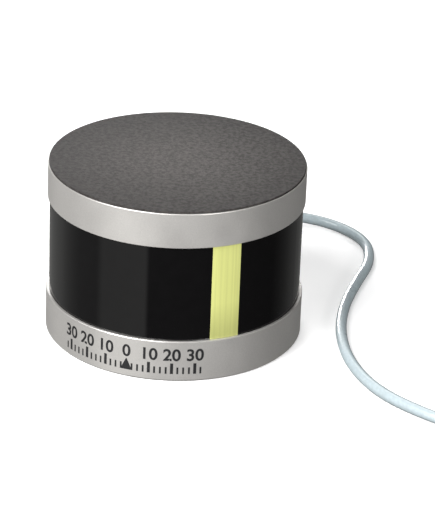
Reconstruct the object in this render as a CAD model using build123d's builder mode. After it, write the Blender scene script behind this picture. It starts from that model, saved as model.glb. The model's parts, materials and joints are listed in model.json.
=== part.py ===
# A spinning lidar scanner module: a puck-shaped housing of silver base, black window ring and
# silver cap, with the turning optical head inside it and a signal lead out of its back.
# Millimetres. +Z is up and is the spin axis, the origin is the centre of the underside, the
# front is -Y and the lead leaves towards +Y.
from build123d import *
import math
import os

os.makedirs("parts", exist_ok=True)

# --- Driving dimensions of the housing ---
body_radius = 51.65
cap_radius = 51.2
body_height = 71.7
base_top = 17.2
cap_bottom = 56.6
optical_height = 37.7
window_outer = 50.4
window_inner = 48.5
window_grip = 3.0  # how deep the base and the cap each hold the window's edge
window_play = 0.1  # between the window and the walls that hold it
spigot_outer = window_inner - window_play
spigot_inner = 45.4
spigot_length = 4.1
floor_thickness = 4.5
cavity_radius = 47.6
neck_low, neck_high = 11.0, 12.5  # the slope inside the base, from its cavity in to its spigot
edge_break = 0.25  # where the cap and the base meet the window
foot_chamfer = 0.8

# --- Mounting features in the underside ---
thread_radius = 2.6  # tapping size of a 1/4-20 thread
thread_depth = 7.1
thread_lead_in = 0.7
dowel_radius = 2.0
dowel_depth = 4.6
dowel_spacing = 88.9
dowel_boss_radius, dowel_boss_height = 4.2, 2.5
label_recess = 0.5  # a shallow ring for the label
label_inner, label_outer = 12.0, 36.5

# --- Window O-rings, in grooves on the base's and the cap's spigots ---
o_ring_section = 0.66
o_ring_groove_width = 1.7
o_ring_groove_floor = 47.1
o_ring_groove_inset = 1.1  # from the window's edge to the groove

# --- Coloured film set into the window ---
film_depth = 0.2
film_play = 0.02
film_angle = 13.4
film_bearing = -46.7  # direction of the film's middle, in degrees from +X

# --- Cap ---
disc_radius = cap_radius - 0.4
disc_thickness = 0.8
disc_rounding = 0.3
rim_rounding = 0.35
cap_wall_top = body_height - disc_thickness  # the dark disc covers the whole top of the cap
cap_wall = 3.0
cap_cavity_radius = 46.9
cap_neck_low, cap_neck_high = 59.5, 61.0  # the slope inside the cap, from its spigot to its cavity
cap_boss_radius = 24.5
cap_boss_bottom = 64.0
cap_screw_seat = 66.5

# --- Shaft and bearings, with 12 mm bores ---
boss_radius = 14.0
boss_top = 9.5
flange_radius = 13.8
flange_top = 12.0
shaft_radius = 6.0
shaft_bore = 2.0
wire_channel_radius, wire_channel_offset = 0.9, 4.1
shoulder_radius = 7.5
bearing_outer = 10.5
bearing_width = 5.0
bearing_heights = (19.3, 49.5)  # undersides of the lower and the upper bearing
ball_radius = 1.19
ball_pitch = 8.25
ball_count = 12
race_gap = 0.8  # half the space between the two races
flange_screw_circle = 10.5
flange_screw_count = 4
four_corners = 45  # degrees from +X to the first of four screws

# --- Motor ---
stator_low, stator_high = 12.8, 18.2
stator_radius = 17.0
tooth_count = 9
magnet_inner, magnet_outer = 17.5, 19.6
magnet_count = 12
bell_outer = 21.6
bell_low = 12.8
winding_circle = 13.05

# --- Turning decks ---
deck_low, deck_high = 20.0, 22.5
deck_radius = 45.0
hub_outer = 13.5
upper_deck_low, upper_deck_high = 54.9, 57.4
upper_deck_radius = 44.0
post_places = [(39, -6), (-39, -6), (27, 28), (-27, 28)]
post_radius = 2.6
post_screw_hole = 1.3
weight_inner, weight_outer, weight_height = 33.0, 43.5, 11.0

# --- Encoder ---
code_low, code_high = 17.0, 18.0
code_inner, code_outer = 28.0, 37.0
code_slots = 48

# --- Rotary transformer ---
core_inner, core_outer = 13.2, 24.0
coil_inner, coil_outer = 16.2, 21.0
core_height = 3.0
coil_depth = 2.0

# --- Optics block ---
block_half_width = 28.5
block_front, block_back = -36.5, -14.6
lens_radius = 12.0
lens_offset = 13.6
lens_back = -31.0
lens_edge = 2.0
lens_sag = 2.2
lens_curve = (lens_radius**2 + lens_sag**2) / (2 * lens_sag)  # radius of its front face
channel_low, channel_high = 25.0, 52.0
channel_front, channel_back = -29.5, -16.5
channel_inner = 1.2
mirror_length = 16.0
mirror_thickness = 1.4
mirror_y = -23.2
board_thickness = 1.6
emitter_board_y = (-33.5, -15.0)
emitter_board_z = (23.2, 54.0)
emitter_count = 16
emitter_pitch = 1.55
processor_y = 20.0
processor_half_width = 29.0

# --- Base board ---
board_low = 9.0
board_high = board_low + board_thickness
board_radius = 44.0
board_hole = 16.5
board_screw_circle = 40.0
board_screw_count = 4
# Each chip's two x, two y and its height
base_chips = [
    ((-31, -22), (-10, -1), 1.3),
    ((24, 36), (-6, 6), 1.5),
    ((-37, -31), (4, 9), 1.1),
    ((-14, -8), (22, 28), 1.0),
    ((10, 16), (-36, -31), 1.2),
    ((-12, -4), (-32, -26), 1.4),
    ((15, 19), (14, 20), 0.9),
    ((26, 33), (12, 17), 2.4),
]
can_places = [(-24, 22), (-30, 16), (20, 26), (14, 32), (28, -16), (21, -24), (-26, -20)]
can_radius, can_height = 2.9, 4.8
# Each chip's two x, two z and its height
processor_chips = [
    ((-9, 9), (32, 50), 2.2),
    ((-24, -14), (38, 48), 1.4),
    ((13, 24), (26, 36), 1.4),
    ((14, 22), (41, 47), 1.2),
    ((-23, -17), (26, 33), 1.6),
]

# --- Cable and its entry ---
cable_radius = 2.25
cable_height = 8.7
entry_flat = 50.4  # the flat on the base's back that the gland seats on
gland_thread = 4.0
gland_seat_radius = 7.4
gland_inner_end = 43.0
seal_thickness = 0.7
seal_radius = 5.2
hex_across_flats = 11.0
hex_length = 4.0
boot_length = 18.0
boot_base, boot_tip = 4.6, 3.1  # radii of the strain relief at its two ends
boot_rib_count, boot_rib_step = 5, 2.8
boot_end = entry_flat + hex_length + boot_length
wire_count = 6
wire_radius = 0.42

# --- Plug on the cable's end ---
grip_radius, grip_length = 7.4, 30.0
insert_radius, insert_length = 4.2, 8.0
pin_radius, pin_length, pin_circle, pin_count = 0.5, 4.5, 2.75, 7
nut_radius, nut_bore, nut_length = 7.1, 5.7, 13.6
nut_play = 0.4

# --- Coil of spare cable and the plug beside it ---
coil_centre = (149.5, -11.0)
coil_mean_radius = 26.4
coil_half_width = 7.9
coil_height = 9.2

# The lead from the boot to the coil, and from the coil to the plug. The scene repeats both.
lead_route = [
    (0.0, boot_end, cable_height),
    (0.0, 91.8, cable_height),
    (11.8, 108.6, 6.0),
    (31.4, 114.0, 3.3),
    (50.2, 104.6, 2.4),
    (58.4, 84.8, 2.3),
    (59.0, 60.6, 2.3),
    (61.0, 35.8, 2.3),
    (67.4, 11.6, 2.3),
    (79.0, -11.2, 2.3),
    (96.0, -29.0, 2.3),
    (117.4, -38.6, 2.3),
    (131.0, -41.4, 2.3),
]
tail_route = [
    (157.9, 22.3, 6.8),
    (150.0, 28.9, 7.5),
    (139.8, 36.3, 7.5),
]


# --- Helpers, each used inside a BuildPart ---

standing = (Align.CENTER, Align.CENTER, Align.MIN)
hanging = (Align.CENTER, Align.CENTER, Align.MAX)
weld = 0.1  # how far an added solid reaches into the one it joins


def ring(outer, inner, low, high, mode=Mode.ADD):
    """A plain ring, or a disc if inner is 0, about Z between two heights."""
    with BuildSketch(Plane.XY.offset(low)) as section:
        Circle(outer)
        if inner > 0:
            Circle(inner, mode=Mode.SUBTRACT)
    extrude(section.sketch, amount=high - low, mode=mode)


def turned(outline, mode=Mode.ADD):
    """A solid of revolution about Z, from (radius, height) corners."""
    with BuildSketch(Plane.XZ) as section:
        with BuildLine():
            Polyline(*outline, close=True)
        make_face()
    revolve(section.sketch, axis=Axis.Z, mode=mode)


def block(x, y, z, mode=Mode.ADD):
    """A box between two x, two y and two z values."""
    middle = ((x[0] + x[1]) / 2, (y[0] + y[1]) / 2, (z[0] + z[1]) / 2)
    with Locations(middle):
        Box(x[1] - x[0], y[1] - y[0], z[1] - z[0], mode=mode)


def hexagon(radius, height, amount, mode=Mode.ADD):
    """A hexagonal prism on Z, from the height given up or down by the amount."""
    with BuildSketch(Plane.XY.offset(height)) as section:
        RegularPolygon(radius, 6)
    extrude(section.sketch, amount=amount, mode=mode)


def flat_head_screw(head_radius, shank_radius, length, top):
    """A countersunk screw pointing down from its flat top, with a hexagon socket."""
    head_height = head_radius - shank_radius
    outline = [
        (0, top - length),
        (shank_radius, top - length),
        (shank_radius, top - head_height),
        (head_radius, top),
        (0, top),
    ]
    turned(outline)
    hexagon(head_radius * 0.42, top, -head_height * 0.8, mode=Mode.SUBTRACT)


def cap_head_screw(head_radius, head_height, shank_radius, length, seat):
    """A socket-head screw whose head stands on the height given, with the shank below."""
    ring(shank_radius, 0, seat - length, seat)
    ring(head_radius, 0, seat, seat + head_height)
    hexagon(head_radius * 0.5, seat + head_height, -head_height * 0.6, mode=Mode.SUBTRACT)


def save(shape, name):
    """Labels a finished piece and writes its STEP."""
    shape.label = name
    export_step(shape, f"parts/{name}.step")


def copies(shape, places):
    """Separate copies of one piece at the places given, as one compound."""
    return Compound(children=[Location(place) * shape for place in places])


def polar_places(radius, count, start=0.0):
    """Points evenly spaced round Z."""
    angles = [math.radians(start + 360 * i / count) for i in range(count)]
    return [(radius * math.cos(a), radius * math.sin(a), 0) for a in angles]


# --- Housing: base, window, cap ---


def make_base():
    seat = base_top - window_grip
    groove_low = seat + o_ring_groove_inset
    groove_high = groove_low + o_ring_groove_width
    dowels = [(-dowel_spacing / 2, 0), (dowel_spacing / 2, 0)]
    screws = polar_places(board_screw_circle, board_screw_count, four_corners)
    with BuildPart() as base:
        turned(
            [
                (0, 0),
                (body_radius, 0),
                (body_radius, base_top - edge_break),
                (body_radius - edge_break, base_top),
                (window_outer + window_play, base_top),
                (window_outer + window_play, seat),
                (spigot_outer, seat),
                (spigot_outer, groove_low),
                (o_ring_groove_floor, groove_low),
                (o_ring_groove_floor, groove_high),
                (spigot_outer, groove_high),
                (spigot_outer, seat + spigot_length),
                (spigot_inner, seat + spigot_length),
                (spigot_inner, neck_high),
                (cavity_radius, neck_low),
                (cavity_radius, floor_thickness),
                (boss_radius, floor_thickness),
                (boss_radius, boss_top),
                (0, boss_top),
            ]
        )
        foot = base.edges().filter_by(GeomType.CIRCLE).group_by(Axis.Z)[0]
        chamfer(foot, foot_chamfer)
        ring(label_outer, label_inner, 0, label_recess, mode=Mode.SUBTRACT)
        # Threaded mounting hole, with its lead-in chamfer, and the two dowel holes
        ring(thread_radius, 0, 0, thread_depth, mode=Mode.SUBTRACT)
        lead_in = [
            (0, 0),
            (thread_radius + thread_lead_in, 0),
            (thread_radius, thread_lead_in),
            (0, thread_lead_in),
        ]
        turned(lead_in, mode=Mode.SUBTRACT)
        with BuildSketch(Plane.XY.offset(floor_thickness - weld)):
            with Locations(*dowels):
                Circle(dowel_boss_radius)
        extrude(amount=dowel_boss_height + weld)
        with BuildSketch(Plane.XY):
            with Locations(*dowels):
                Circle(dowel_radius)
        extrude(amount=dowel_depth, mode=Mode.SUBTRACT)
        # Countersunk holes for the board's screws, and tapped holes for the shaft's flange
        with Locations(*screws):
            Cylinder(1.45, 3 * floor_thickness, mode=Mode.SUBTRACT)
            Cone(2.6, 1.2, 1.4, align=standing, mode=Mode.SUBTRACT)
        with BuildSketch(Plane.XY.offset(boss_top)):
            with PolarLocations(flange_screw_circle, flange_screw_count, four_corners):
                Circle(1.25)
        extrude(amount=-4.5, mode=Mode.SUBTRACT)
        # Back of the base: thickened wall, gland's seat and tapped hole
        pad = (gland_inner_end + 0.4, cavity_radius + 1)
        block((-7.5, 7.5), pad, (floor_thickness - weld, 13.0))
        entry_disc(gland_seat_radius, entry_flat, body_radius + 3, mode=Mode.SUBTRACT)
        entry_disc(gland_thread, gland_inner_end - 3, body_radius + 3, mode=Mode.SUBTRACT)
    save(base.part, "base_housing")


def make_window():
    low = base_top - window_grip
    high = cap_bottom + window_grip
    with BuildPart() as window:
        ring(window_outer, window_inner, low, high)
        with BuildSketch(Plane.XY.offset(base_top)):
            film_outline(window_outer + 1, window_outer - film_depth - film_play, film_angle + 0.05)
        extrude(amount=cap_bottom - base_top, mode=Mode.SUBTRACT)
    save(window.part, "window")
    with BuildPart() as film:
        with BuildSketch(Plane.XY.offset(base_top + film_play)):
            film_outline(window_outer, window_outer - film_depth, film_angle)
        extrude(amount=cap_bottom - base_top - 2 * film_play)
    save(film.part, "window_film")


def film_outline(outer, inner, angle):
    """The film's slice of a ring, seen from above."""
    start, reach = film_bearing - angle / 2, 2 * outer
    Circle(outer)
    Circle(inner, mode=Mode.SUBTRACT)
    corners = [(0, 0)]
    for side in (start, start + angle):
        corners.append((reach * math.cos(math.radians(side)), reach * math.sin(math.radians(side))))
    Polygon(*corners, align=None, mode=Mode.INTERSECT)


def make_o_rings():
    middle = o_ring_groove_floor + o_ring_section + 0.06
    inset = window_grip - o_ring_groove_inset - o_ring_groove_width / 2
    base_groove = base_top - inset
    cap_groove = cap_bottom + inset
    with BuildPart() as seals:
        for height in (base_groove, cap_groove):
            with BuildSketch(Plane.XZ):
                with Locations((middle, height)):
                    Circle(o_ring_section)
            revolve(axis=Axis.Z)
    save(seals.part, "window_o_rings")


def make_cap():
    seat = cap_bottom + window_grip
    groove_high = seat - o_ring_groove_inset
    groove_low = groove_high - o_ring_groove_width
    with BuildPart() as cap:
        turned(
            [
                (0, cap_boss_bottom),
                (cap_boss_radius, cap_boss_bottom),
                (cap_boss_radius, cap_wall_top - cap_wall),
                (cap_cavity_radius, cap_wall_top - cap_wall),
                (cap_cavity_radius, cap_neck_high),
                (spigot_inner, cap_neck_low),
                (spigot_inner, seat - spigot_length),
                (spigot_outer, seat - spigot_length),
                (spigot_outer, groove_low),
                (o_ring_groove_floor, groove_low),
                (o_ring_groove_floor, groove_high),
                (spigot_outer, groove_high),
                (spigot_outer, seat),
                (window_outer + window_play, seat),
                (window_outer + window_play, cap_bottom),
                (cap_radius - edge_break, cap_bottom),
                (cap_radius, cap_bottom + edge_break),
                (cap_radius, cap_wall_top),
                (0, cap_wall_top),
            ]
        )
        rim = cap.edges().filter_by(GeomType.CIRCLE).group_by(Axis.Z)[-1].sort_by(SortBy.RADIUS)[-1]
        fillet(rim, rim_rounding)
        ring(2.2, 0, cap_boss_bottom, cap_wall_top, mode=Mode.SUBTRACT)
        ring(4.0, 0, cap_screw_seat, cap_wall_top, mode=Mode.SUBTRACT)
    save(cap.part, "top_cap")

    with BuildPart() as disc:
        ring(disc_radius, 0, cap_wall_top, body_height)
        top_edge = disc.edges().filter_by(GeomType.CIRCLE).group_by(Axis.Z)[-1]
        fillet(top_edge, disc_rounding)
    save(disc.part, "top_disc")

    with BuildPart() as screw:
        cap_head_screw(3.5, 4.0, 1.98, 11.0, cap_screw_seat)
    save(screw.part, "cap_screw")


# --- Fixed shaft, motor stator, base board ---


def make_shaft():
    screws = polar_places(flange_screw_circle, flange_screw_count, four_corners)
    with BuildPart() as shaft:
        turned(
            [
                (shaft_bore, boss_top),
                (flange_radius, boss_top),
                (flange_radius, flange_top),
                (shoulder_radius, flange_top),
                (shoulder_radius, bearing_heights[0]),
                (shaft_radius, bearing_heights[0]),
                (shaft_radius, cap_boss_bottom),
                (shaft_bore, cap_boss_bottom),
            ]
        )
        with Locations(*screws):
            Cylinder(1.35, 3 * flange_top, mode=Mode.SUBTRACT)
        with Locations(*[(x, y, flange_top) for x, y, _ in screws]):
            Cone(1.3, 2.5, 1.2, align=hanging, mode=Mode.SUBTRACT)
        # Channel for the transformer's wires, and the slot they leave by
        with Locations((0, wire_channel_offset, boss_top)):
            Cylinder(wire_channel_radius, 50.5, align=standing, mode=Mode.SUBTRACT)
        across = (-wire_channel_radius, wire_channel_radius)
        block(across, (wire_channel_offset, shaft_radius + 2), (58.6, 60.2), mode=Mode.SUBTRACT)
    save(shaft.part, "shaft")

    with BuildPart() as screw:
        flat_head_screw(2.4, 1.2, 6.0, flange_top)
    save(copies(screw.part, screws), "flange_screws")

    washer_thickness = 0.6
    nut_low = bearing_heights[1] + bearing_width + washer_thickness
    with BuildPart() as nut:
        with BuildSketch(Plane.XY.offset(nut_low)):
            RegularPolygon(9.0, 6)
            Circle(shaft_radius + 0.02, mode=Mode.SUBTRACT)
        extrude(amount=3.0)
        chamfer(nut.edges().filter_by(GeomType.CIRCLE), 0.2)
    save(nut.part, "shaft_nut")

    with BuildPart() as washer:
        ring(7.3, shaft_radius + 0.1, nut_low - washer_thickness, nut_low)
    save(washer.part, "preload_washer")


def make_stator():
    with BuildPart() as core:
        with BuildSketch(Plane.XY.offset(stator_low)):
            Circle(stator_radius)
            Circle(stator_radius - 1.3, mode=Mode.SUBTRACT)
            with PolarLocations(stator_radius - 0.6, tooth_count, 180 / tooth_count):
                Rectangle(3, 2.2, mode=Mode.SUBTRACT)
            Circle(10.2)
            with PolarLocations(13, tooth_count):
                Rectangle(6.2, 2.6)
            Circle(shoulder_radius + 0.01, mode=Mode.SUBTRACT)
        extrude(amount=stator_high - stator_low)
    save(core.part, "stator_core")

    with BuildPart() as windings:
        middle = (stator_low + stator_high) / 2
        height = stator_high - stator_low
        with Locations((0, 0, middle)):
            with PolarLocations(winding_circle, tooth_count):
                Box(4.7, 4.6, height + 1.0)
            with PolarLocations(winding_circle, tooth_count):
                Box(6, 2.64, height + 0.04, mode=Mode.SUBTRACT)
    save(windings.part, "stator_windings")


def make_base_board():
    screws = polar_places(board_screw_circle, board_screw_count, four_corners)
    with BuildPart() as board:
        ring(board_radius, board_hole, board_low, board_high)
        with Locations(*screws):
            Cylinder(1.4, 4 * board_high, mode=Mode.SUBTRACT)
        block((-9.5, 9.5), (36.5, 50), (board_low - 1, board_high + 1), mode=Mode.SUBTRACT)
    save(board.part, "base_board")

    with BuildPart() as chips:
        for x, y, height in base_chips:
            block(x, y, (board_high, board_high + height))
        chamfer(chips.faces().filter_by(Axis.Z).group_by(Axis.Z)[-1].edges(), 0.15)
    save(chips.part, "base_board_chips")

    with BuildPart() as cans:
        with BuildSketch(Plane.XY.offset(board_high)):
            with Locations(*can_places):
                Circle(can_radius)
        extrude(amount=can_height)
        fillet(cans.edges().filter_by(GeomType.CIRCLE).group_by(Axis.Z)[-1], 0.4)
    save(cans.part, "base_board_capacitors")

    with BuildPart() as socket:
        block((-6.5, 6.5), (27.0, 33.0), (board_high, board_high + 4.4))
        block((-5.6, 5.6), (31.0, 34.0), (board_high + 0.8, board_high + 3.6), mode=Mode.SUBTRACT)
    save(socket.part, "lead_socket")

    with BuildPart() as standoff:
        with BuildSketch(Plane.XY.offset(floor_thickness)):
            RegularPolygon(3.1, 6)
            Circle(1.28, mode=Mode.SUBTRACT)
        extrude(amount=board_low - floor_thickness)
    save(copies(standoff.part, screws), "board_standoffs")

    with BuildPart() as board_screw:
        cap_head_screw(2.2, 1.7, 1.2, 3.2, board_high)
    save(copies(board_screw.part, screws), "board_screws")

    with BuildPart() as base_screw:
        flat_head_screw(2.5, 1.2, 6.8, 0)
    upside_down = [Location(place, (180, 0, 0)) for place in screws]
    underneath = Compound(children=[turn * base_screw.part for turn in upside_down])
    save(underneath, "base_screws")

    with BuildPart() as reader:
        block((-4.0, 4.0), (-41.5, -34.0), (board_high, 19.4))
        block((-5.0, 5.0), (-38.0, -33.0), (16.4, 18.6), mode=Mode.SUBTRACT)
    save(reader.part, "encoder_reader")


# --- Ball bearings: fixed inner rings, turning outer rings, balls and cages ---


def make_bearings():
    middles = [low + bearing_width / 2 for low in bearing_heights]
    inner_land = ball_pitch - race_gap
    outer_land = ball_pitch + race_gap
    with BuildPart() as inner_rings:
        for low, middle in zip(bearing_heights, middles):
            ring(inner_land, shaft_radius, low, low + bearing_width)
            race_groove(middle)
    save(inner_rings.part, "bearing_inner_rings")
    with BuildPart() as outer_rings:
        for low, middle in zip(bearing_heights, middles):
            ring(bearing_outer, outer_land, low, low + bearing_width)
            race_groove(middle)
    save(outer_rings.part, "bearing_outer_rings")

    for name, middle in zip(("lower", "upper"), middles):
        with BuildPart() as balls:
            with Locations((0, 0, middle)):
                with PolarLocations(ball_pitch, ball_count):
                    Sphere(ball_radius)
        save(balls.part, f"{name}_balls")
        with BuildPart() as cage:
            ring(ball_pitch + 0.45, ball_pitch - 0.45, middle - 1.7, middle + 1.7)
            with Locations((0, 0, middle)):
                with PolarLocations(ball_pitch, ball_count):
                    Cylinder(ball_radius + 0.07, 2, rotation=(0, 90, 0), mode=Mode.SUBTRACT)
        save(cage.part, f"{name}_ball_cage")


def race_groove(middle):
    """The groove that the balls run in, cut into the ring in hand."""
    with BuildSketch(Plane.XZ) as section:
        with Locations((ball_pitch, middle)):
            Circle(ball_radius + 0.05)
    revolve(section.sketch, axis=Axis.Z, mode=Mode.SUBTRACT)


# --- Turning head: decks, motor bell, optics, boards ---


def make_turntable():
    upper_seat = bearing_heights[1]
    lower_seat_top = bearing_heights[0] + bearing_width
    with BuildPart() as turntable:
        turned(
            [
                (bearing_outer, bearing_heights[0]),
                (hub_outer, bearing_heights[0]),
                (hub_outer, deck_low),
                (magnet_outer, deck_low),
                (magnet_outer, bell_low),
                (bell_outer, bell_low),
                (bell_outer, deck_low),
                (code_inner + 0.2, deck_low),
                (code_inner + 0.2, code_high),
                (code_inner + 3.0, code_high),
                (code_inner + 3.0, deck_low),
                (deck_radius, deck_low),
                (deck_radius, deck_high),
                (hub_outer, deck_high),
                (hub_outer, upper_deck_low),
                (bearing_outer, upper_deck_low),
                (bearing_outer, upper_seat),
                (bearing_outer - 0.9, upper_seat),
                (bearing_outer - 0.9, lower_seat_top),
                (bearing_outer, lower_seat_top),
            ]
        )
        with Locations(*[(x, y, deck_low) for x, y in post_places]):
            Cylinder(post_screw_hole, 6, mode=Mode.SUBTRACT)
            Cone(2.5, 1.2, 1.3, align=standing, mode=Mode.SUBTRACT)
        with BuildSketch(Plane.XY.offset(deck_low - 1)):
            with PolarLocations(25.0, 3, 90):
                Circle(1.6)
        extrude(amount=4, mode=Mode.SUBTRACT)
    save(turntable.part, "turntable")

    with BuildPart() as magnets:
        with BuildSketch(Plane.XY.offset(bell_low + 0.2)):
            Circle(magnet_outer - 0.01)
            Circle(magnet_inner, mode=Mode.SUBTRACT)
            with PolarLocations((magnet_inner + magnet_outer) / 2, magnet_count):
                Rectangle(4, 0.4, mode=Mode.SUBTRACT)
        extrude(amount=5.2)
    save(magnets.part, "rotor_magnets")

    with BuildPart() as code_disc:
        ring(code_outer, code_inner, code_low, code_high)
        with BuildSketch(Plane.XY.offset(code_low)):
            with PolarLocations(code_outer - 2.4, code_slots):
                Rectangle(3.0, 1.8)
        extrude(amount=code_high - code_low, mode=Mode.SUBTRACT)
    save(code_disc.part, "encoder_disc")

    with BuildPart() as upper_deck:
        ring(upper_deck_radius, bearing_outer + 0.5, upper_deck_low, upper_deck_high)
        with Locations(*[(x, y, upper_deck_low) for x, y in post_places]):
            Cylinder(post_screw_hole, 10, mode=Mode.SUBTRACT)
        with BuildSketch(Plane.XY.offset(upper_deck_low)):
            with PolarLocations(33.0, 3, 90):
                SlotOverall(16, 6, rotation=90)
        extrude(amount=4, mode=Mode.SUBTRACT)
    save(upper_deck.part, "upper_deck")

    with BuildPart() as post:
        ring(post_radius, 1.05, deck_high, upper_deck_low)
    places = [(x, y, 0) for x, y in post_places]
    save(copies(post.part, places), "deck_posts")

    with BuildPart() as deck_screw:
        cap_head_screw(2.2, 1.7, 1.0, 6.0, upper_deck_high)
    with BuildPart() as under_screw:
        flat_head_screw(2.3, 1.0, 6.5, 0)
    under_places = [Location((x, y, deck_low), (180, 0, 0)) for x, y in post_places]
    over = [Location(place) * deck_screw.part for place in places]
    under = [place * under_screw.part for place in under_places]
    save(Compound(children=over + under), "deck_screws")

    with BuildPart() as weight:
        with BuildSketch(Plane.XY.offset(deck_high)):
            Circle(weight_outer)
            Circle(weight_inner, mode=Mode.SUBTRACT)
            Polygon((0, 0), (-45, 80), (45, 80), align=None, mode=Mode.INTERSECT)
        extrude(amount=weight_height)
        chamfer(weight.faces().sort_by(Axis.Z)[-1].edges(), 0.6)
    save(weight.part, "counterweight")


def make_optics():
    with BuildPart() as housing:
        width = (-block_half_width, block_half_width)
        block(width, (block_front, block_back), (deck_high, upper_deck_low))
        front_corners = housing.edges().filter_by(Axis.Z).group_by(Axis.Y)[0]
        chamfer(front_corners, 3.0)
        for side in (-1, 1):
            x = sorted((side * channel_inner, side * (block_half_width + 1)))
            block(x, (channel_front, channel_back), (channel_low, channel_high), mode=Mode.SUBTRACT)
        lens_holes(lens_radius + 0.05, block_front, 5.5)
        lens_holes(lens_radius - 0.8, block_front, 9.0)
    save(housing.part, "optics_housing")

    for name, side in (("transmit", -1), ("receive", 1)):
        plane = Plane(origin=(side * lens_offset, lens_back, optical_height), z_dir=(0, -1, 0))
        with BuildPart() as lens:
            ring(lens_radius, 0, 0, lens_edge + lens_sag)
            with Locations((0, 0, lens_edge + lens_sag - lens_curve)):
                Sphere(lens_curve, mode=Mode.INTERSECT)
        save(plane.location * lens.part, f"{name}_lens")

    with BuildPart() as retainers:
        with BuildSketch(Plane.XZ.offset(-lens_back + lens_edge + 0.3)):
            with Locations((-lens_offset, optical_height), (lens_offset, optical_height)):
                Circle(lens_radius + 0.03)
                Circle(lens_radius - 0.7, mode=Mode.SUBTRACT)
        extrude(amount=1.2)
    save(retainers.part, "lens_retainers")

    with BuildPart() as mirrors:
        for side in (-1, 1):
            middle = (side * lens_offset, mirror_y, (channel_low + channel_high) / 2)
            with Locations(Location(middle, (0, 0, side * 45))):
                Box(mirror_length, mirror_thickness, channel_high - channel_low)
    save(mirrors.part, "fold_mirrors")

    for name, side in (("laser", -1), ("detector", 1)):
        inner = side * block_half_width
        outer = side * (block_half_width + board_thickness)
        with BuildPart() as board:
            block(sorted((inner, outer)), emitter_board_y, emitter_board_z)
        save(board.part, f"{name}_board")
        top = optical_height + emitter_pitch * (emitter_count - 1) / 2
        with BuildPart() as devices:
            for i in range(emitter_count):
                height = top - i * emitter_pitch
                block(
                    sorted((inner, inner - side * 1.1)),
                    (mirror_y - 0.8, mirror_y + 0.8),
                    (height - 0.5, height + 0.5),
                )
        save(devices.part, "laser_diodes" if side < 0 else "detector_diodes")

    face = processor_y + board_thickness
    width = (-processor_half_width, processor_half_width)
    with BuildPart() as processor:
        block(width, (processor_y, face), (deck_high, upper_deck_low))
    save(processor.part, "processor_board")
    with BuildPart() as chips:
        for x, z, height in processor_chips:
            block(x, (face, face + height), z)
    save(chips.part, "processor_chips")


def lens_holes(radius, front, depth):
    """Two round holes into the optics block's front, one for each lens."""
    with BuildSketch(Plane.XZ.offset(-front)) as section:
        with Locations((-lens_offset, optical_height), (lens_offset, optical_height)):
            Circle(radius)
    extrude(section.sketch, amount=-depth, mode=Mode.SUBTRACT)


def make_transformer():
    lower = upper_deck_high
    core_top = lower + core_height
    with BuildPart() as turning_core:
        ring(core_outer, core_inner, lower, core_top)
        ring(coil_outer, coil_inner, core_top - coil_depth, core_top, mode=Mode.SUBTRACT)
    save(turning_core.part, "transformer_turning_core")
    with BuildPart() as turning_coil:
        ring(coil_outer - 0.1, coil_inner + 0.1, core_top - coil_depth, core_top - 0.3)
    save(turning_coil.part, "transformer_turning_coil")
    upper = cap_boss_bottom - core_height
    with BuildPart() as fixed_core:
        ring(core_outer, core_inner, upper, cap_boss_bottom)
        ring(coil_outer, coil_inner, upper, upper + coil_depth, mode=Mode.SUBTRACT)
    save(fixed_core.part, "transformer_fixed_core")
    with BuildPart() as fixed_coil:
        ring(coil_outer - 0.1, coil_inner + 0.1, upper + 0.3, upper + coil_depth)
    save(fixed_coil.part, "transformer_fixed_coil")


# --- Cable entry, cable and plug ---


def entry_disc(radius, near, far, mode=Mode.ADD):
    """A disc on the cable's axis, between two distances from the spin axis."""
    with BuildSketch(Plane.XZ.offset(-near)) as section:
        with Locations((0, cable_height)):
            Circle(radius)
    extrude(section.sketch, amount=near - far, mode=mode)


def make_gland():
    seal_end = entry_flat + seal_thickness
    hex_end = entry_flat + hex_length
    with BuildPart() as gland:
        entry_disc(gland_thread - 0.02, gland_inner_end, seal_end)
        with BuildSketch(Plane.XZ.offset(-seal_end)) as section:
            with Locations((0, cable_height)):
                RegularPolygon(hex_across_flats / 2, 6, major_radius=False)
        extrude(section.sketch, amount=seal_end - hex_end)
        entry_disc(cable_radius + 0.02, gland_inner_end - 1, hex_end + 1, mode=Mode.SUBTRACT)
    save(gland.part, "cable_gland")

    with BuildPart() as seal:
        entry_disc(seal_radius, entry_flat, seal_end)
        entry_disc(gland_thread + 0.02, entry_flat, seal_end, mode=Mode.SUBTRACT)
    save(seal.part, "gland_seal")

    with BuildPart() as boot:
        turned([(0, 0), (boot_base, 0), (boot_tip, boot_length), (0, boot_length)])
        for i in range(boot_rib_count):
            height = 2.6 + i * boot_rib_step
            radius = boot_base + (boot_tip - boot_base) * height / boot_length
            ring(radius + 1.0, radius - 0.75, height, height + 1.2, mode=Mode.SUBTRACT)
        ring(cable_radius + 0.02, 0, 0, boot_length, mode=Mode.SUBTRACT)
    out = Plane(origin=(0, entry_flat + hex_length, cable_height), z_dir=(0, 1, 0))
    save(out.location * boot.part, "strain_relief")


def tangent_radii(route):
    """A corner radius for each inner point: 0.45 of the shorter run over the half turn's tangent."""
    points = [Vector(*p) for p in route]
    radii = []
    for before, here, after in zip(points, points[1:], points[2:]):
        turn = math.radians((here - before).get_angle(after - here))
        shorter = min((here - before).length, (after - here).length)
        radii.append(0.45 * shorter / math.tan(turn / 2))
    return radii


def cable_tube(route, name):
    """A round cable along a route of straight runs and tangent arcs."""
    radii = tangent_radii(route)
    with BuildPart() as tube:
        with BuildLine() as path:
            FilletPolyline(*route, radius=radii)
        with BuildSketch(Plane(origin=path.line @ 0, z_dir=path.line % 0)):
            Circle(cable_radius)
        sweep()
    section = math.pi * cable_radius**2
    length = path.wire().length
    print(name, "radii", [round(r, 1) for r in radii], "length", round(length, 1))
    print(name, "volume over section times length", tube.part.volume / (section * length))
    save(tube.part, name)


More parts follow.
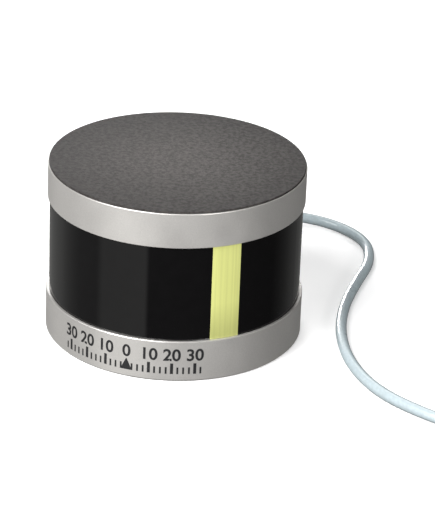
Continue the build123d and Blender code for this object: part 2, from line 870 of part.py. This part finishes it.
def make_cable():
    cable_tube(lead_route, "cable_lead")
    cable_tube(tail_route, "cable_tail")
    corner = 3.5
    with BuildPart() as coil:
        with BuildSketch(Plane.XZ):
            with Locations((coil_mean_radius, coil_height / 2 + 0.02)):
                RectangleRounded(2 * coil_half_width, coil_height, corner)
        revolve(axis=Axis.Z)
    save(Location((*coil_centre, 0)) * coil.part, "cable_coil")

    # Bare wires from the cable's inner end to the socket on the base board
    inner_end = gland_inner_end - 0.6
    with BuildPart() as wires:
        entry_disc(cable_radius, inner_end, boot_end)
        for i in range(wire_count):
            offset = i - (wire_count - 1) / 2
            start = (offset * 0.62, inner_end, cable_height)
            middle = (offset * 1.3, 39.0, cable_height + 1.2)
            near = (offset * 1.8, 35.6, 12.8)
            end = (offset * 1.8, 31.0, 12.8)
            with BuildLine() as path:
                FilletPolyline(start, middle, near, end, radius=1.2)
            with BuildSketch(Plane(origin=path.line @ 0, z_dir=path.line % 0)):
                Circle(wire_radius)
            sweep(path=path.line)
    save(wires.part, "lead_wires")


def make_plug():
    axis = Vector(*tail_route[-1]) - Vector(*tail_route[-2])
    frame = Plane(origin=tail_route[-1], z_dir=axis)
    insert_end = grip_length + insert_length
    with BuildPart() as grip:
        turned(
            [(0, 0), (3.3, 0), (4.3, 10), (grip_radius, 14), (grip_radius, grip_length), (0, grip_length)]
        )
        fillet(grip.edges().filter_by(GeomType.CIRCLE).sort_by(Axis.Z)[-1], 0.6)
        with BuildSketch(Plane.XY.offset(16)):
            with PolarLocations(grip_radius + 0.3, 12):
                Circle(0.9)
        extrude(amount=11, mode=Mode.SUBTRACT)
    save(frame.location * grip.part, "plug_grip")

    with BuildPart() as insert:
        ring(insert_radius, 0, grip_length, insert_end)
        ring(5.4, 4.0, grip_length + 2.5, grip_length + 3.6)
    save(frame.location * insert.part, "plug_insert")

    with BuildPart() as pins:
        with BuildSketch(Plane.XY.offset(insert_end)):
            with PolarLocations(pin_circle, pin_count):
                Circle(pin_radius)
            Circle(pin_radius)
        extrude(amount=pin_length)
        fillet(pins.faces().filter_by(Axis.Z).sort_by(Axis.Z)[-1].edges(), 0.2)
    save(frame.location * pins.part, "plug_pins")

    with BuildPart() as nut:
        with BuildSketch(Plane.XY.offset(grip_length + nut_play)):
            Circle(nut_radius)
            Circle(nut_bore, mode=Mode.SUBTRACT)
            with PolarLocations(nut_radius + 0.25, 24):
                Circle(0.55, mode=Mode.SUBTRACT)
        extrude(amount=nut_length)
        ring(nut_bore + 0.5, 4.5, grip_length + nut_play, grip_length + 2.2)
    save(frame.location * nut.part, "plug_nut")


make_base()
make_window()
make_o_rings()
make_cap()
make_shaft()
make_stator()
make_base_board()
make_bearings()
make_turntable()
make_optics()
make_transformer()
make_gland()
make_cable()
make_plug()
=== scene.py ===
# The look of a spinning lidar scanner module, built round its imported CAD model.
# Metres. +Z is up and is the spin axis, the front is -Y, and the lead leaves towards +Y.
import json
import math

import bmesh
import bpy
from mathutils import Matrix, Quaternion, Vector


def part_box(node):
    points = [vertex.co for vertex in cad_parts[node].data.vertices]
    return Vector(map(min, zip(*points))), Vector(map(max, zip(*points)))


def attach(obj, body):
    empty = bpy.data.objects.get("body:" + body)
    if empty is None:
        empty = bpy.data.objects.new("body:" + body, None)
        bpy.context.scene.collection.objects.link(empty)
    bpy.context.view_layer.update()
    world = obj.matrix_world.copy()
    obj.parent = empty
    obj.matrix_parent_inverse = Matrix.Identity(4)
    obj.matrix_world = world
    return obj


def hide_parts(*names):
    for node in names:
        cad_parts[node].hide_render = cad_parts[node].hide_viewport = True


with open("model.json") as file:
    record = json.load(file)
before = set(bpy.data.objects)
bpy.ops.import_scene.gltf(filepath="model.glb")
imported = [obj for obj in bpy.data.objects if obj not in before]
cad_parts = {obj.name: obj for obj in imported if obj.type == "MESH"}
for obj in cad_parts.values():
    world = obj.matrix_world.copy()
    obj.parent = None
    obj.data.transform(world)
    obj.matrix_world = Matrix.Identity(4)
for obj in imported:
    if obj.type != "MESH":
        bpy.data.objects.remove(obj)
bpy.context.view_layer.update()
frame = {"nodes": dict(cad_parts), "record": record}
nodes = frame["nodes"]

MM = 0.001
body_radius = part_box("base_housing")[1].x
body_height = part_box("top_cap")[1].z
film_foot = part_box("window_film")[0].z

# --- Camera: the photograph's viewing angle on the puck, aimed a little to its right ---
VIEW_AZIMUTH = math.radians(20)  # from the front towards +X
VIEW_ELEVATION = math.radians(24.7)
VIEW_DISTANCE = 1.0
VIEW_ROLL = math.radians(2.23)
FOCAL_LENGTH = 206.6
AIM_RIGHT, AIM_DOWN = 17 * MM, 4 * MM  # from the puck's centre

view_right = Vector((math.cos(VIEW_AZIMUTH), math.sin(VIEW_AZIMUTH), 0))
puck_centre = Vector((0, 0, body_height / 2))


def around(azimuth, elevation, distance):
    """A place round the puck: azimuth in degrees from the camera's own, positive to its right."""
    a, e = VIEW_AZIMUTH + math.radians(azimuth), math.radians(elevation)
    away = Vector((math.sin(a) * math.cos(e), -math.cos(a) * math.cos(e), math.sin(e)))
    return puck_centre + distance * away


def aim(obj, target, roll=0.0):
    """Turns a camera or a light to look at a point."""
    look = (target - obj.location).to_track_quat("-Z", "Y")
    obj.rotation_euler = (look @ Quaternion((0, 0, 1), roll)).to_euler()


def add_camera():
    data = bpy.data.cameras.new("camera")
    data.sensor_fit = "HORIZONTAL"
    data.lens = FOCAL_LENGTH
    camera = bpy.data.objects.new("camera", data)
    bpy.context.scene.collection.objects.link(camera)
    camera.location = around(0, math.degrees(VIEW_ELEVATION), VIEW_DISTANCE)
    aim(camera, puck_centre + AIM_RIGHT * view_right - Vector((0, 0, AIM_DOWN)), VIEW_ROLL)
    bpy.context.scene.camera = camera


# --- Signal lead: out of its strain relief, round to the front, into a coil, to its plug ---
# The routes and the coil are in mm, as they are in the CAD model
CABLE_RADIUS = 2.25 * MM
LYING_HEIGHT = 2.3  # of the lead's middle, where it lies on the floor
LEAD_ROUTE = [
    (0.0, 72.4, 8.7),
    (0.0, 91.8, 8.7),
    (11.8, 108.6, 6.0),
    (31.4, 114.0, 3.3),
    (50.2, 104.6, 2.4),
    (58.4, 84.8, 2.3),
    (59.0, 60.6, 2.3),
    (61.0, 35.8, 2.3),
    (67.4, 11.6, 2.3),
    (79.0, -11.2, 2.3),
    (96.0, -29.0, 2.3),
    (117.4, -38.6, 2.3),
    (131.0, -41.4, 2.3),
]
TAIL_ROUTE = [
    (157.9, 22.3, 6.8),
    (150.0, 28.9, 7.5),
    (139.8, 36.3, 7.5),
]
COIL_CENTRE = (149.5, -11.0)
COIL_OUTER, COIL_STEP = 30.9, 4.5  # radius of the outermost turn, and the space between turns
COIL_START, COIL_END = -90.0, 1490.0  # degrees, anticlockwise
COIL_CLIMB = (2.0, 2.35)  # the turns between which the lead climbs to the upper layer
COIL_STEPS = 66
LEAD_FITTINGS = [
    "cable_gland",
    "gland_seal",
    "strain_relief",
    "lead_wires",
    "plug_grip",
    "plug_insert",
    "plug_pins",
    "plug_nut",
]


def coil_points():
    """Turns laid inwards on the floor and then outwards on top of them."""
    points = []
    climb_start, climb_end = COIL_CLIMB
    last_turn = (COIL_END - COIL_START) / 360
    inner = COIL_OUTER - COIL_STEP * climb_end
    for i in range(COIL_STEPS + 1):
        turn = last_turn * i / COIL_STEPS
        if turn < climb_end:
            radius = COIL_OUTER - COIL_STEP * turn
        else:
            radius = inner + (COIL_OUTER - inner) * (turn - climb_end) / (last_turn - climb_end)
        climb = min(1, max(0, (turn - climb_start) / (climb_end - climb_start)))
        angle = math.radians(COIL_START + 360 * turn)
        x = COIL_CENTRE[0] + radius * math.cos(angle)
        y = COIL_CENTRE[1] + radius * math.sin(angle)
        points.append((x, y, LYING_HEIGHT + COIL_STEP * climb))
    return points


def add_lead():
    data = bpy.data.curves.new("signal_lead", "CURVE")
    data.dimensions = "3D"
    data.resolution_u = 8
    data.bevel_depth = 1.0  # times each point's own radius, which the curve's box also takes in
    data.bevel_resolution = 6
    data.use_fill_caps = True
    route = LEAD_ROUTE + coil_points() + TAIL_ROUTE
    spline = data.splines.new("NURBS")
    spline.points.add(len(route) - 1)
    for point, place in zip(spline.points, route):
        point.co = (*(MM * v for v in place), 1)
        point.radius = CABLE_RADIUS
    spline.order_u = 3
    spline.use_endpoint_u = True
    lead = bpy.data.objects.new("signal_lead", data)
    bpy.context.scene.collection.objects.link(lead)
    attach(lead, "housing")
    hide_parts("cable_lead", "cable_coil", "cable_tail")
    return lead


add_camera()
lead = add_lead()


# --- Materials: one procedural finish for each of the record's slots ---
COAT_ROUGHNESS = 0.08
NOISE_LOW, NOISE_HIGH = 0.3, 0.7  # most of a noise's values lie between these
BROAD_PATCH = 9 * MM  # over which a finish's roughness varies
STREAK_SQUEEZE = (1, 1, 0.02)  # draws a noise out into upright streaks
RING_SLOPE = 20  # radians of a wave texture's rings in one unit of its own scale
FROM_AXIS, UPWARD = (1, 1, 0), (0, 0, 1)  # the two directions along which painted shade may darken a colour


def add_math(tree, operation, *values):
    """A maths node fed with sockets or plain numbers. Returns its output."""
    node = tree.nodes.new("ShaderNodeMath")
    node.operation = operation
    for socket, value in zip(node.inputs, values):
        if isinstance(value, bpy.types.NodeSocket):
            tree.links.new(value, socket)
        else:
            socket.default_value = value
    return node.outputs["Value"]


def add_range(tree, value, start, end, first, last):
    """Maps a value between start and end to one between first and last. Returns the node."""
    node = tree.nodes.new("ShaderNodeMapRange")
    node.inputs["From Min"].default_value = start
    node.inputs["From Max"].default_value = end
    node.inputs["To Min"].default_value = first
    node.inputs["To Max"].default_value = last
    tree.links.new(value, node.inputs["Value"])
    return node


def new_material(name, color, roughness, metallic=0.0, specular=0.5, coat=0.0):
    """A material with plain values on its own shader; the functions below add its detail."""
    material = bpy.data.materials.new(name)
    material.use_nodes = True
    shader = material.node_tree.nodes["Principled BSDF"]
    shader.inputs["Base Color"].default_value = (*color, 1)
    shader.inputs["Roughness"].default_value = roughness
    shader.inputs["Metallic"].default_value = metallic
    shader.inputs["Specular IOR Level"].default_value = specular
    shader.inputs["Coat Weight"].default_value = coat
    shader.inputs["Coat Roughness"].default_value = COAT_ROUGHNESS
    return material


def add_noise(material, size, detail=3.0, stretch=(1, 1, 1)):
    """A noise over the piece whose blobs are about the size given. Returns its value output."""
    tree = material.node_tree
    place = tree.nodes.new("ShaderNodeTexCoord")
    scale = tree.nodes.new("ShaderNodeMapping")
    scale.inputs["Scale"].default_value = stretch
    noise = tree.nodes.new("ShaderNodeTexNoise")
    noise.inputs["Scale"].default_value = 1 / size
    noise.inputs["Detail"].default_value = detail
    tree.links.new(place.outputs["Object"], scale.inputs["Vector"])
    tree.links.new(scale.outputs["Vector"], noise.inputs["Vector"])
    return noise.outputs["Fac"]


def vary_color(material, noise, darker, lighter, low=0.35, high=0.65):
    """Runs the base colour between two shades of itself, as a noise goes from low to high."""
    tree = material.node_tree
    shader = tree.nodes["Principled BSDF"]
    color = shader.inputs["Base Color"].default_value
    ramp = tree.nodes.new("ShaderNodeValToRGB")
    ramp.color_ramp.elements[0].position = low
    ramp.color_ramp.elements[1].position = high
    ramp.color_ramp.elements[0].color = (*(darker * v for v in color[:3]), 1)
    ramp.color_ramp.elements[1].color = (*(lighter * v for v in color[:3]), 1)
    tree.links.new(noise, ramp.inputs["Fac"])
    tree.links.new(ramp.outputs["Color"], shader.inputs["Base Color"])


def vary_roughness(material, noise, low, high):
    """Runs the roughness between two values by a noise."""
    tree = material.node_tree
    spread = add_range(tree, noise, NOISE_LOW, NOISE_HIGH, low, high)
    tree.links.new(spread.outputs["Result"], tree.nodes["Principled BSDF"].inputs["Roughness"])


def add_bump(material, noise, height):
    """Raises the surface by a noise, to the height given in metres, on top of any earlier bump."""
    tree = material.node_tree
    shader = tree.nodes["Principled BSDF"]
    bump = tree.nodes.new("ShaderNodeBump")
    bump.inputs["Distance"].default_value = height
    bump.inputs["Strength"].default_value = 1
    if shader.inputs["Normal"].is_linked:
        tree.links.new(shader.inputs["Normal"].links[0].from_socket, bump.inputs["Normal"])
    tree.links.new(noise, bump.inputs["Height"])
    tree.links.new(bump.outputs["Normal"], shader.inputs["Normal"])


def grained(name, color, roughness, metallic=0.0, grain=0.3, height=0.01, spread=0.08, **more):
    """A finish with a fine grain, in mm, in its colour, roughness and surface."""
    material = new_material(name, color, roughness, metallic, **more)
    fine = add_noise(material, grain * MM)
    vary_color(material, fine, 1 - spread, 1 + spread)
    broad = add_noise(material, BROAD_PATCH, detail=4)
    vary_roughness(material, broad, roughness * 0.9, min(1, roughness * 1.12))
    add_bump(material, fine, height * MM)
    return material


def streaked(name, color, roughness, width, depth, grain=0.3, spread=0.06):
    """A glossy finish with faint upright streaks and a fine grain. Their sizes are in mm."""
    material = new_material(name, color, roughness)
    streaks = add_noise(material, width * MM, stretch=STREAK_SQUEEZE)
    vary_color(material, streaks, 1 - spread, 1 + spread)
    add_bump(material, streaks, depth * MM)
    specks = add_noise(material, grain * MM)
    add_bump(material, specks, depth * MM)
    vary_roughness(material, specks, roughness * 0.9, roughness * 1.15)
    return material


def turned_metal(name, color, roughness, slope_width=0.25, depth=0.004):
    """Bare metal with rings about the spin axis, as a lathe leaves them. The slope width, in mm,
    is that of one radian of a ring, so the rings are 2 pi times as far apart."""
    material = grained(name, color, roughness, metallic=1.0, grain=0.35, height=0.006, spread=0.06)
    tree = material.node_tree
    place = tree.nodes.new("ShaderNodeTexCoord")
    rings = tree.nodes.new("ShaderNodeTexWave")
    rings.wave_type = "RINGS"
    rings.rings_direction = "Z"
    rings.inputs["Scale"].default_value = 1 / (RING_SLOPE * slope_width * MM)
    rings.inputs["Distortion"].default_value = 0.4
    tree.links.new(place.outputs["Object"], rings.inputs["Vector"])
    add_bump(material, rings.outputs["Fac"], depth * MM)
    return material


def stippled(name, color, roughness, fine, coarse, height):
    """Textured paint: small raised dots of one size among coarser patches of shade, in mm."""
    material = new_material(name, color, roughness, specular=0.12)
    dots = add_noise(material, fine * MM, detail=2)
    patches = add_noise(material, coarse * MM, detail=3)
    tree = material.node_tree
    half = add_math(tree, "MULTIPLY", dots, 0.5)
    both = add_math(tree, "MULTIPLY_ADD", patches, 0.5, half)
    vary_color(material, both, darker=0.6, lighter=1.46, low=0.41, high=0.59)
    vary_roughness(material, dots, roughness * 0.85, min(1, roughness * 1.15))
    add_bump(material, dots, height * MM)
    return material


def fade_color(material, axes, start, end, first, last):
    """Paints shade into a finish: scales its colour from the first share to the last between two
    distances, in metres, from the spin axis or up from the floor."""
    tree = material.node_tree
    color = tree.nodes["Principled BSDF"].inputs["Base Color"]
    place = tree.nodes.new("ShaderNodeTexCoord")
    flat = tree.nodes.new("ShaderNodeVectorMath")
    flat.operation = "MULTIPLY"
    flat.inputs[1].default_value = axes
    reach = tree.nodes.new("ShaderNodeVectorMath")
    reach.operation = "LENGTH"
    dim = tree.nodes.new("ShaderNodeVectorMath")
    dim.operation = "SCALE"
    tree.links.new(place.outputs["Object"], flat.inputs[0])
    tree.links.new(flat.outputs["Vector"], reach.inputs[0])
    fade = add_range(tree, reach.outputs["Value"], start, end, first, last)
    tree.links.new(fade.outputs["Result"], dim.inputs["Scale"])
    tree.links.new(color.links[0].from_socket, dim.inputs[0])
    tree.links.new(dim.outputs["Vector"], color)


def make_finishes():
    """Slot name to material. A grained finish's numbers after its colour are its roughness, how
    metallic it is, its grain and bump height in mm, and the spread of its colour."""
    silver = grained("silver", (0.612, 0.594, 0.57), 0.36, 0.62, 0.4, 0.014, 0.045)
    window = grained("window_black", (0.0042, 0.004, 0.0042), 0.06, 0, 4.0, 0.0006, 0.05)
    jacket = grained("jacket_blue", (0.385, 0.452, 0.478), 0.3, 0, 1.4, 0.02, 0.06, coat=0.15)
    board = grained("board_green", (0.01, 0.11, 0.05), 0.3, 0, 1.2, 0.01, 0.2, coat=0.4)
    cage = grained("cage_nylon", (0.5, 0.45, 0.35), 0.5, 0, 0.4, 0.01, 0.08)
    glass = grained("lens_glass", (0.6, 0.7, 0.85), 0.03, 0, 5.0, 0.0005, 0.02, coat=0.5)
    top = stippled("top_grey", (0.067, 0.0615, 0.0585), 0.72, 0.55, 1.6, 0.09)
    # Painted shade: the top's colour darkens towards its rim, standing in for the light falling off
    # there
    fade_color(top, FROM_AXIS, 0.25 * body_radius, 0.9 * body_radius, 1.0, 0.6)
    film = streaked("film_lime", (0.575, 0.592, 0.207), 0.32, 0.9, 0.003, 0.035)
    # Painted shade: the film's colour darkens towards its foot, where less light reaches it from
    # below
    fade_color(film, UPWARD, film_foot, film_foot + 15 * MM, 0.68, 1.0)
    return {
        "silver": silver,
        "top_grey": top,
        "window_black": window,
        "film_lime": film,
        "black_plastic": grained("black_plastic", (0.022, 0.022, 0.023), 0.5, 0, 0.5, 0.02, 0.15),
        "black_metal": grained("black_metal", (0.02, 0.02, 0.021), 0.4, 0.4, 0.3, 0.01, 0.15),
        "machined": turned_metal("machined", (0.55, 0.55, 0.56), 0.32),
        "steel": grained("steel", (0.5, 0.5, 0.5), 0.28, 1.0, 0.3, 0.006, 0.1),
        "bearing_steel": grained("bearing_steel", (0.6, 0.6, 0.6), 0.12, 1.0, 0.2, 0.002, 0.05),
        "black_screw": grained("black_screw", (0.03, 0.03, 0.032), 0.35, 0.8, 0.2, 0.008, 0.2),
        "rubber_black": grained("rubber_black", (0.018, 0.018, 0.018), 0.62, 0, 0.6, 0.02, 0.12),
        "board_green": board,
        "copper": grained("copper", (0.6, 0.22, 0.09), 0.25, 1.0, 0.35, 0.05, 0.15),
        "ferrite": grained("ferrite", (0.05, 0.05, 0.055), 0.7, 0, 0.4, 0.02, 0.2),
        "magnet": grained("magnet", (0.5, 0.5, 0.5), 0.2, 1.0, 0.5, 0.004, 0.08),
        "lens_glass": glass,
        "mirror_front": grained("mirror_front", (0.85, 0.85, 0.86), 0.02, 1.0, 5.0, 0.0003, 0.02),
        "brass": grained("brass", (0.62, 0.42, 0.14), 0.25, 1.0, 0.4, 0.006, 0.08),
        "gold": grained("gold", (0.8, 0.55, 0.2), 0.2, 1.0, 0.3, 0.004, 0.06),
        "cage_nylon": cage,
        "jacket_blue": jacket,
        "nickel": grained("nickel", (0.34, 0.33, 0.315), 0.42, 1.0, 0.4, 0.006, 0.07),
    }


finishes = make_finishes()
for part in frame["record"]["subparts"]:
    nodes[part["node"]].data.materials.clear()
    nodes[part["node"]].data.materials.append(finishes[part["material_slot"]])
lead.data.materials.append(finishes["jacket_blue"])

# The lead and its ends are left out of all reflections, so that they don't show in the window
for piece in [lead] + [nodes[name] for name in LEAD_FITTINGS]:
    piece.visible_glossy = False


# --- Bearing scale printed on the front of the base ---
MARK_STEP = 2.5  # degrees between two marks
LONG_EVERY = 4  # marks
MARK_SPAN = 13  # marks each side of the front
MARK_FOOT = 3.4 * MM
MARK_HEIGHTS = (2.9 * MM, 4.6 * MM)  # of a plain mark and of a long one
MARK_WIDTHS = (0.75 * MM, 1.2 * MM)
MARK_SLICES = 4  # flat slices that bend a mark round the base
POINTER_HEIGHT, POINTER_HALF_WIDTH, POINTER_HALF_TIP = 4.8 * MM, 2.4 * MM, 0.15 * MM
NUMBER_SIZE, NUMBER_WEIGHT = 7.0 * MM, 0.16 * MM
NUMBER_FOOT = 5.8 * MM  # above the marks' foot
INK_HEIGHT = 0.015 * MM


def on_base(bearing, along, height):
    """A point on the base's side: degrees from the front, then metres along and up from there."""
    angle = math.radians(bearing) + along / body_radius
    radius = body_radius + INK_HEIGHT
    return (radius * math.sin(angle), -radius * math.cos(angle), MARK_FOOT + height)


def add_mark(mesh, bearing, foot, top, height):
    """A mark with its own half width at its foot and at its top, bent round the base."""
    shares = [2 * i / MARK_SLICES - 1 for i in range(MARK_SLICES + 1)]
    lower = [mesh.verts.new(on_base(bearing, foot * share, 0)) for share in shares]
    upper = [mesh.verts.new(on_base(bearing, top * share, height)) for share in shares]
    for i in range(MARK_SLICES):
        mesh.faces.new((lower[i], lower[i + 1], upper[i + 1], upper[i]))


def add_number(mesh, number, bearing):
    """Printed figures over a mark, bent round the base."""
    text = bpy.data.curves.new("figures", "FONT")
    text.body = str(number)
    text.size = NUMBER_SIZE
    text.offset = NUMBER_WEIGHT
    text.align_x = "CENTER"
    holder = bpy.data.objects.new("figures", text)
    flat = bpy.data.meshes.new_from_object(holder)
    places = [mesh.verts.new(on_base(bearing, v.co.x, NUMBER_FOOT + v.co.y)) for v in flat.vertices]
    for face in flat.polygons:
        mesh.faces.new([places[i] for i in face.vertices])
    bpy.data.objects.remove(holder)
    bpy.data.curves.remove(text)
    bpy.data.meshes.remove(flat)


def add_front_scale():
    mesh = bmesh.new()
    for i in range(-MARK_SPAN, MARK_SPAN + 1):
        bearing = i * MARK_STEP
        long = i % LONG_EVERY == 0
        if long:
            add_number(mesh, round(abs(bearing)), bearing)
        if i == 0:
            add_mark(mesh, bearing, POINTER_HALF_WIDTH, POINTER_HALF_TIP, POINTER_HEIGHT)
            continue
        half_width = MARK_WIDTHS[long] / 2
        add_mark(mesh, bearing, half_width, half_width, MARK_HEIGHTS[long])
    data = bpy.data.meshes.new("front_scale")
    mesh.to_mesh(data)
    mesh.free()
    scale = bpy.data.objects.new("front_scale", data)
    bpy.context.scene.collection.objects.link(scale)
    ink = grained("scale_ink", (0.012, 0.012, 0.013), 0.45, 0, 0.3, 0.004, 0.25)
    scale.data.materials.append(ink)
    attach(scale, "housing")


add_front_scale()


# --- Floor, light and surroundings ---
FLOOR_FADE, FLOOR_END = 0.2, 0.6  # where the floor starts to fade out, and where it ends
FLOOR_GLOW = 0.35  # lifts the floor to the white round it
LIGHT_DISTANCE = 1.5
SKY_GREY = 0.05


def add_floor():
    """A pale floor that fades out into the white round it."""
    mesh = bpy.data.meshes.new("floor")
    signs = ((-1, -1), (1, -1), (1, 1), (-1, 1))
    mesh.from_pydata([(FLOOR_END * x, FLOOR_END * y, 0) for x, y in signs], [], [(0, 1, 2, 3)])
    floor = bpy.data.objects.new("floor", mesh)
    bpy.context.scene.collection.objects.link(floor)
    paint = new_material("floor_paint", (0.9, 0.9, 0.9), 0.9, specular=0.1)
    vary_color(paint, add_noise(paint, 0.3), 0.99, 1.01)
    tree = paint.node_tree
    shader = tree.nodes["Principled BSDF"]
    shader.inputs["Emission Color"].default_value = (1, 1, 1, 1)
    shader.inputs["Emission Strength"].default_value = FLOOR_GLOW
    place = tree.nodes.new("ShaderNodeTexCoord")
    reach = tree.nodes.new("ShaderNodeVectorMath")
    reach.operation = "LENGTH"
    tree.links.new(place.outputs["Object"], reach.inputs[0])
    fade = add_range(tree, reach.outputs["Value"], FLOOR_FADE, FLOOR_END, 1, 0)
    fade.interpolation_type = "SMOOTHSTEP"
    tree.links.new(fade.outputs["Result"], shader.inputs["Alpha"])
    mesh.materials.append(paint)
    floor.visible_diffuse = False
    floor.visible_glossy = False


def add_softbox(name, azimuth, elevation, width, height, power):
    """A rectangular light, aimed at the puck: degrees, metres and watts."""
    data = bpy.data.lights.new(name, "AREA")
    data.shape = "RECTANGLE"
    data.size = width
    data.size_y = height
    data.energy = power
    light = bpy.data.objects.new(name, data)
    bpy.context.scene.collection.objects.link(light)
    light.location = around(azimuth, elevation, LIGHT_DISTANCE)
    aim(light, puck_centre)


# The lower half of the room, as bearings from the camera's side of the puck and how bright the
# room is there: dim behind, a pale panel on the left with a sharp near edge, and dark in front and
# on the right. The greys were set so that the window's gloss looks as it does in the
# photograph.
GROUND_GREYS = [
    (-180, 0.18),
    (-125, 0.28),
    (-96, 0.13),
    (-75, 0.13),
    (-68, 0.35),
    (-26, 0.43),
    (-23, 0.015),
    (100, 0.02),
    (130, 0.13),
    (180, 0.16),
]


def add_surroundings():
    """The light of the room round the puck. The camera itself sees plain white instead."""
    world = bpy.data.worlds.new("world")
    bpy.context.scene.world = world
    world.use_nodes = True
    tree = world.node_tree
    place = tree.nodes.new("ShaderNodeTexCoord")
    turn = tree.nodes.new("ShaderNodeVectorRotate")
    turn.rotation_type = "Z_AXIS"
    turn.inputs["Angle"].default_value = -VIEW_AZIMUTH
    parts = tree.nodes.new("ShaderNodeSeparateXYZ")
    tree.links.new(place.outputs["Generated"], turn.inputs["Vector"])
    tree.links.new(turn.outputs["Vector"], parts.inputs["Vector"])
    # The bearing from the camera's side, -pi to pi, positive to its right
    towards = add_math(tree, "MULTIPLY", parts.outputs["Y"], -1)
    bearing = add_math(tree, "ARCTAN2", parts.outputs["X"], towards)
    share = add_range(tree, bearing, -math.pi, math.pi, 0, 1)
    ground = tree.nodes.new("ShaderNodeValToRGB")
    ramp = ground.color_ramp
    while len(ramp.elements) < len(GROUND_GREYS):
        ramp.elements.new(0.5)
    for element, (degrees, grey) in zip(ramp.elements, GROUND_GREYS):
        element.position = (degrees + 180) / 360
        element.color = (grey, grey, grey * 0.97, 1)
    tree.links.new(share.outputs["Result"], ground.inputs["Fac"])
    above = add_math(tree, "GREATER_THAN", parts.outputs["Z"], 0)
    mix = tree.nodes.new("ShaderNodeMix")
    mix.data_type = "RGBA"
    tree.links.new(above, mix.inputs["Factor"])
    tree.links.new(ground.outputs["Color"], mix.inputs["A"])
    mix.inputs["B"].default_value = (SKY_GREY, SKY_GREY, SKY_GREY, 1)
    ray = tree.nodes.new("ShaderNodeLightPath")
    seen = tree.nodes.new("ShaderNodeMix")
    seen.data_type = "RGBA"
    tree.links.new(ray.outputs["Is Camera Ray"], seen.inputs["Factor"])
    tree.links.new(mix.outputs["Result"], seen.inputs["A"])
    seen.inputs["B"].default_value = (1, 1, 1, 1)
    tree.links.new(seen.outputs["Result"], tree.nodes["Background"].inputs["Color"])


add_floor()
add_softbox("key", -50, 48, 0.8, 0.8, 26)
add_softbox("left", -50, 15, 0.7, 0.7, 9)
add_softbox("front", -19, 15, 0.5, 0.5, 11)
add_softbox("right", 32, 15, 0.4, 0.4, 13.5)
add_softbox("back", 180, 48, 0.8, 0.8, 8)
add_softbox("rear", -170, 6, 0.6, 0.3, 14)
add_surroundings()
bpy.context.scene.view_settings.view_transform = "Standard"
